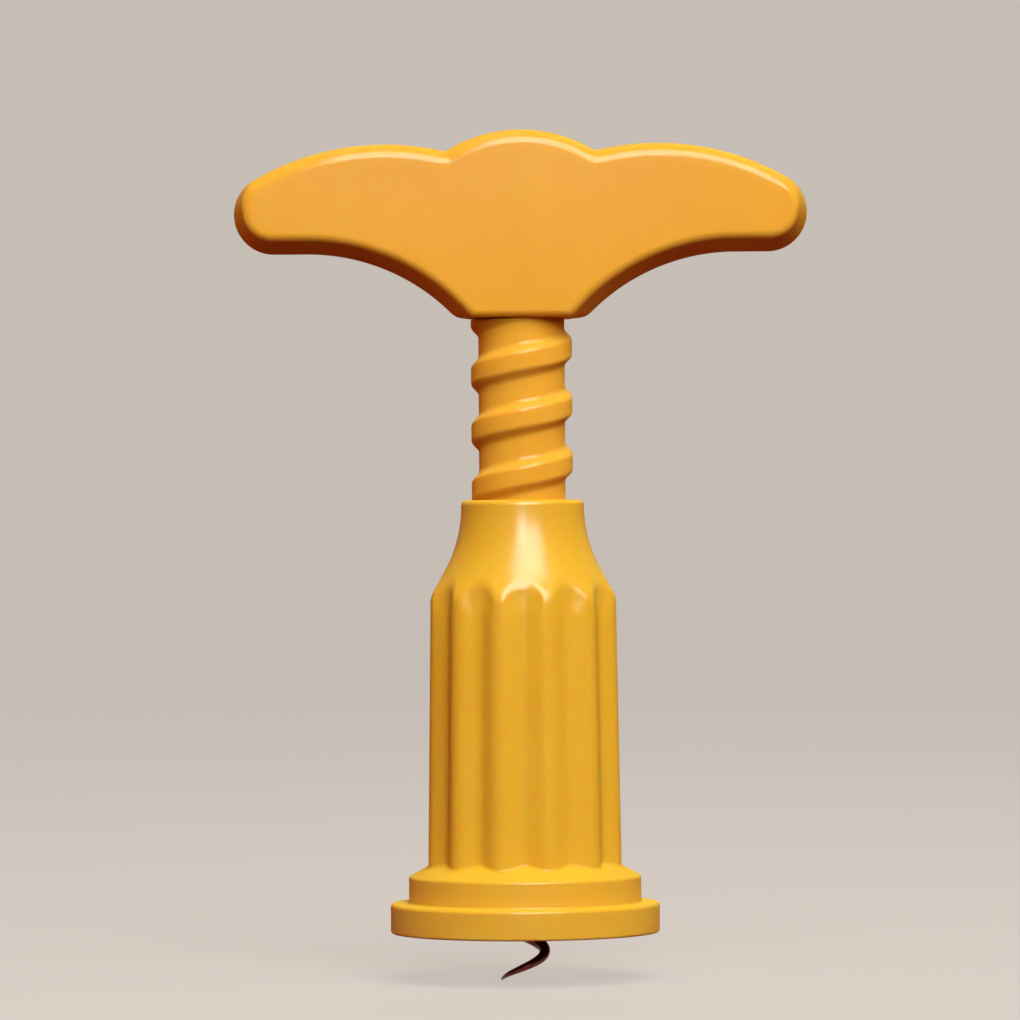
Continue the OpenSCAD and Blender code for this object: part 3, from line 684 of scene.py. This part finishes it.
def capWithHoles(outline, holes):
    # triangles of a flat face inside the outline and outside the holes, on these same points
    rings = [outline] + holes
    flat = np.concatenate(rings)
    edges = []
    start = 0
    for ring in rings:
        index = start + np.arange(len(ring))
        edges.extend(np.stack([index, np.roll(index, -1)], axis=-1).tolist())
        start += len(ring)
    insideOnly, sameWithin = 1, 1e-6
    found = geometry.delaunay_2d_cdt([Vector(p) for p in flat.tolist()], edges, [], insideOnly, sameWithin)
    triangles, sources = found[2], found[3]
    faces = np.array([[sources[k][0] for k in triangle] for triangle in triangles])
    # a triangle with all its corners on one hole's ring lies inside that hole
    owner = np.repeat(np.arange(len(rings)), [len(ring) for ring in rings])[faces]
    within = (owner[:, 0] > 0) & (owner[:, 0] == owner[:, 1]) & (owner[:, 0] == owner[:, 2])
    return faces[~within]


def screwTube(back):
    # from the ceiling round the boss and into its hole; behind, on through the counterbore to the face
    size = handleSize
    edge, root = size["holeEdge"], size["holeRoot"]
    boss = [(size["boss"], size["ceiling"]), (size["boss"], 0, size["bossEdge"])]
    if back:
        clear, wide = size["clearHole"], size["counterbore"]
        hole = [(clear, 0, edge), (clear, size["seat"], root), (wide, size["seat"], edge),
                (wide, size["half"], size["mouthEdge"]), (wide + size["mouthRing"], size["half"])]
    else:
        pilot, end = size["pilotHole"], size["pilotDepth"]
        hole = [(pilot, 0, edge), (pilot, end, root), (size["pilotEnd"], end)]
    return roundedPath(boss + hole, steps=5, support=0.08)


def handleShells(back):
    # rows of outlines from the ceiling over the seam and round the edge to the face, and three screw tubes
    size = handleSize
    turn = np.sin(np.radians(np.linspace(0, 90, size["edgeRows"])))
    outside = np.concatenate([[size["seam"], size["seam"] + size["seamStep"]],
                              size["half"] - size["top"][1] * (1 - turn)])
    depth = np.concatenate([[size["ceiling"], 0.0, 0.0], outside, [size["half"]]])
    inside = [size["wall"], size["wall"], size["seam"]]
    drawnIn = [sideInset(outside, *size[part]) for part in ("top", "under", "plain")]
    layers = [np.concatenate([inside, inset, [inset[-1] + size["faceInset"]]]) for inset in drawnIn]
    grid = np.stack([handleOutline(*layer) for layer in zip(*layers)])
    rows, count = grid.shape[:2]
    side = 1 if back else -1
    y = side * np.broadcast_to(depth[:, None], (rows, count))
    blocks = [np.stack([grid[:, :, 0], y, grid[:, :, 1] + size["foot"]], axis=-1).reshape(-1, 3)]
    faces = [gridQuads(rows, count)]
    tube = screwTube(back)
    columns = size["holeColumns"]
    angle = fullTurn(columns)
    circle = np.stack([np.cos(angle), np.sin(angle)], axis=-1)
    ceilingHoles, faceHoles, ceilingIndex, faceIndex = [], [], [], []
    start = rows * count
    for place in np.array(size["screws"]):
        ring = place + tube[:, None, :1] * circle
        tubeY = side * np.broadcast_to(tube[:, 1:], ring.shape[:2])
        tubeZ = ring[:, :, 1] + size["foot"]
        blocks.append(np.stack([ring[:, :, 0], tubeY, tubeZ], axis=-1).reshape(-1, 3))
        faces.append(gridQuads(len(tube), columns)[:, ::-1] + start)
        ceilingHoles.append(ring[0])
        ceilingIndex.append(start + np.arange(columns))
        faceHoles.append(ring[-1])
        faceIndex.append(start + (len(tube) - 1) * columns + np.arange(columns))
        if not back:
            faces.append([faceIndex[-1][::-1].tolist()])
        start += len(tube) * columns
    ceiling = capWithHoles(grid[0], ceilingHoles)
    faces.append(np.concatenate([np.arange(count)] + ceilingIndex)[ceiling][:, ::-1])
    front = capWithHoles(grid[-1], faceHoles if back else [])
    faces.append(np.concatenate([(rows - 1) * count + np.arange(count)] + faceIndex)[front])
    if back:
        faces = [np.asarray(block)[:, ::-1] for block in faces]
    return [(np.concatenate(blocks), faces)]


makePiece("handleFront", handleShells(False), "screw", ["handle_front_shell"], amberHandle)
makePiece("handleRear", handleShells(True), "screw", ["handle_rear_shell"], amberHandle)


# Handle screws: a turned head whose domed top is pressed in by a cross, depth(x, y) smooth at its sides

screwSize = {
    "head": 2.6, "headSide": 1.55, "headHeight": 1.9, "dome": (2.2, 0.06), "shank": 1.35, "length": 11.0,
    "taper": 9.6, "point": (0.02, 0.5), "crossTurn": 45, "armHalf": 0.42, "armReach": 1.65,
    "armBlur": (0.2, 0.25), "recess": 1.15, "topRows": (2.15, 0.04, 34), "columns": 96,
    "tipEdge": 0.1, "taperEdge": 0.3, "headRoot": 0.1, "headFoot": 0.25, "headEdge": 0.3,
}


def crossArm(across, along):
    # 1 on one bar of the cross, a half at its border and 0 beside it
    sideBlur, endBlur = screwSize["armBlur"]
    inside = smoothStep((screwSize["armHalf"] - np.abs(across)) / sideBlur + 0.5)
    return inside * smoothStep((screwSize["armReach"] - np.abs(along)) / endBlur + 0.5)


def screwShells():
    size = screwSize
    angle = fullTurn(size["columns"])
    domeR, domeRise = size["dome"]
    core, tip = size["point"]
    foot = roundedPath([
        (core, -size["length"]), (tip, -size["length"], size["tipEdge"]),
        (size["shank"], -size["taper"], size["taperEdge"]), (size["shank"], 0, size["headRoot"]),
        (size["head"], 0, size["headFoot"]), (size["head"], size["headSide"], size["headEdge"]),
        (domeR, size["headHeight"] - domeRise)], steps=5, support=0.06)
    inward = np.linspace(*size["topRows"])
    turned = angle + math.radians(size["crossTurn"])
    x = inward[:, None] * np.cos(turned)
    y = inward[:, None] * np.sin(turned)
    arms = np.maximum(crossArm(x, y), crossArm(y, x))
    top = size["headHeight"] - domeRise * (inward[:, None] / domeR) ** 2 - size["recess"] * arms
    heights = np.concatenate([np.repeat(foot[:, 1:], len(angle), axis=1), top])
    radius = np.concatenate([foot[:, 0], inward])[:, None] * np.ones(len(angle))
    shells = []
    for place in handleSize["screws"]:
        px = place[0] + radius * np.cos(angle)
        py = handleSize["seat"] + heights
        pz = handleSize["foot"] + place[1] - radius * np.sin(angle)
        points = np.stack([px, py, pz], axis=-1).reshape(-1, 3)
        shells.append((points, tubeFaces(len(radius), len(angle))))
    return shells


makePiece("handleScrews", screwShells(), "screw", ["handle_screws"], fastenerSteel)

# The cross pin keeps its solid and gets the fasteners' finish
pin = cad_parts["worm_pin"]
for holder in pin.material_slots:
    holder.material = fastenerSteel
print("pieces made")


# Stage: a pale floor that runs up into a backdrop, a soft box in front and above, a strip that is only
# mirrored, warm fills at the sides and a lamp behind that aren't mirrored, and a camera

stageSize = {"floor": -8.75, "front": -4500.0, "turnUp": 2300.0, "bend": 700.0, "bendRows": 17,
             "top": 2600.0, "halfWidth": 4500.0}
# lift is what the camera and mirrors see of the stage besides its shade, bounce is the light it returns
stageTones = {"pale": (0.13, 0.121, 0.112, 1), "soft": (0.123, 0.114, 0.105, 1),
              "lift": (0.54, 0.495, 0.45, 1), "bounce": (0.12, 0.010, 0.002, 1),
              "around": (1.0, 0.4, 0.15, 1), "aroundStrength": 0.08,
              "noise": (3, 2), "range": (0.3, 0.7, 0, 1)}
stageShader = {"Emission Strength": 1.0, "Roughness": 0.85, "Specular IOR Level": 0.0}


def stageShell():
    # the section (y, z) is the floor, a quarter round and the backdrop, drawn out along x
    size = stageSize
    a = np.radians(np.linspace(-90, 0, size["bendRows"]))
    back = size["turnUp"] + size["bend"]
    y = np.concatenate([[size["front"]], size["turnUp"] + size["bend"] * np.cos(a), [back]])
    z = np.concatenate([[size["floor"]], size["floor"] + size["bend"] * (1 + np.sin(a)), [size["top"]]])
    left = np.stack([np.full(len(y), -size["halfWidth"]), y, z], axis=-1)
    right = left * np.array([-1, 1, 1])
    points = np.concatenate([left, right]) * metre
    row = np.arange(len(y) - 1)
    faces = np.stack([row, row + len(y), row + len(y) + 1, row + 1], axis=-1)
    return points, faces


def stageMaterial():
    tones = stageTones
    material = bpy.data.materials.new("paleStage")
    material.use_nodes = True
    tree = material.node_tree
    principled = tree.nodes["Principled BSDF"]
    rays = addNode(tree, "ShaderNodeLightPath").outputs
    seen = mathNode(tree, "MAXIMUM", rays["Is Camera Ray"], rays["Is Glossy Ray"])
    seen = mathNode(tree, "MAXIMUM", seen, rays["Is Transmission Ray"])
    place = addNode(tree, "ShaderNodeTexCoord").outputs["Object"]
    cloud = rangeNode(tree, noiseNode(tree, place, *tones["noise"]), *tones["range"])
    pale = colourMix(tree, cloud, tones["pale"], tones["soft"])
    colour = colourMix(tree, seen, tones["bounce"], pale)
    lift = colourMix(tree, seen, (0, 0, 0, 1), tones["lift"])
    tree.links.new(colour, principled.inputs["Base Color"])
    tree.links.new(lift, principled.inputs["Emission Color"])
    for key, value in stageShader.items():
        principled.inputs[key].default_value = value
    return material


stagePoints, stageFaces = stageShell()
stageMesh = bpy.data.meshes.new("studioStage")
stageMesh.from_pydata(stagePoints.tolist(), [], stageFaces.tolist())
stageMesh.shade_smooth()
stageMesh.materials.append(stageMaterial())
stage = bpy.data.objects.new("studioStage", stageMesh)
bpy.context.collection.objects.link(stage)

# from is azimuth, elevation and distance in metres, seen from the middle of the object; azimuth 0 is the
# camera's side. A box has a width and a height in metres, a spot a radius in metres and a cone in degrees
lampAim = 72
warmFill = (1.0, 0.3, 0.08)
lamps = {
    "keyBox": {"from": (12, 41, 1.2), "box": (0.85, 1.1), "watts": 25, "colour": (0.98, 1.0, 0.98),
               "mirrored": True, "lighting": True, "seen": True},
    "lowStrip": {"from": (-1, 17, 1.2), "box": (0.2, 0.5), "watts": 3.2, "colour": (0.85, 0.97, 1.0),
                 "mirrored": True, "lighting": False, "seen": True},
    "backSpot": {"from": (177, 7, 1.8), "spot": (0.15, 18), "watts": 130, "colour": (1.0, 0.98, 0.95),
                 "mirrored": False, "lighting": True, "seen": False},
    "rightFill": {"from": (78, 20, 1.5), "box": (0.6, 0.5), "watts": 3.2, "colour": warmFill,
                  "mirrored": False, "lighting": True, "seen": True},
    "leftFill": {"from": (-78, 20, 1.5), "box": (0.6, 0.5), "watts": 4.6, "colour": warmFill,
                 "mirrored": False, "lighting": True, "seen": True},
}


def addLamp(name, values):
    azimuth, elevation, distance = values["from"]
    a, e = math.radians(azimuth), math.radians(elevation)
    target = Vector((0, 0, lampAim)) * metre
    place = target + distance * Vector((math.sin(a) * math.cos(e), -math.cos(a) * math.cos(e), math.sin(e)))
    if "box" in values:
        data = bpy.data.lights.new(name, "AREA")
        data.shape = "RECTANGLE"
        data.size, data.size_y = values["box"]
    else:
        radius, cone = values["spot"]
        data = bpy.data.lights.new(name, "SPOT")
        data.shadow_soft_size = radius
        data.spot_size = math.radians(cone)
        data.spot_blend = 1.0
    data.energy = values["watts"]
    data.color = values["colour"]
    lamp = bpy.data.objects.new(name, data)
    lamp.visible_glossy = values["mirrored"]
    lamp.visible_diffuse = values["lighting"]
    lamp.visible_camera = values["seen"]
    lamp.location = place
    lamp.rotation_euler = (target - place).to_track_quat("-Z", "Y").to_euler()
    bpy.context.collection.objects.link(lamp)


for name, values in lamps.items():
    addLamp(name, values)

world = bpy.data.worlds.new("studioWorld")
bpy.context.scene.world = world
world.use_nodes = True
background = world.node_tree.nodes["Background"]
background.inputs["Color"].default_value = stageTones["around"]
background.inputs["Strength"].default_value = stageTones["aroundStrength"]

# frame is the width that the camera takes in at the object
cameraSize = {"x": -2.25, "away": 1100.0, "z": 76.0, "frame": 183.6, "roll": -0.4, "sensor": 36}
cameraData = bpy.data.cameras.new("photoCamera")
cameraData.sensor_fit = "HORIZONTAL"
cameraData.sensor_width = cameraSize["sensor"]
cameraData.lens = cameraSize["sensor"] * cameraSize["away"] / cameraSize["frame"]
cameraData.clip_start = 0.01
camera = bpy.data.objects.new("photoCamera", cameraData)
camera.location = Vector((cameraSize["x"], -cameraSize["away"], cameraSize["z"])) * metre
level = Matrix.Rotation(math.radians(90), 4, "X")
rolled = level @ Matrix.Rotation(math.radians(cameraSize["roll"]), 4, "Z")
camera.rotation_euler = rolled.to_euler()
bpy.context.collection.objects.link(camera)
bpy.context.scene.camera = camera
bpy.context.scene.view_settings.view_transform = "Standard"
print("stage made")
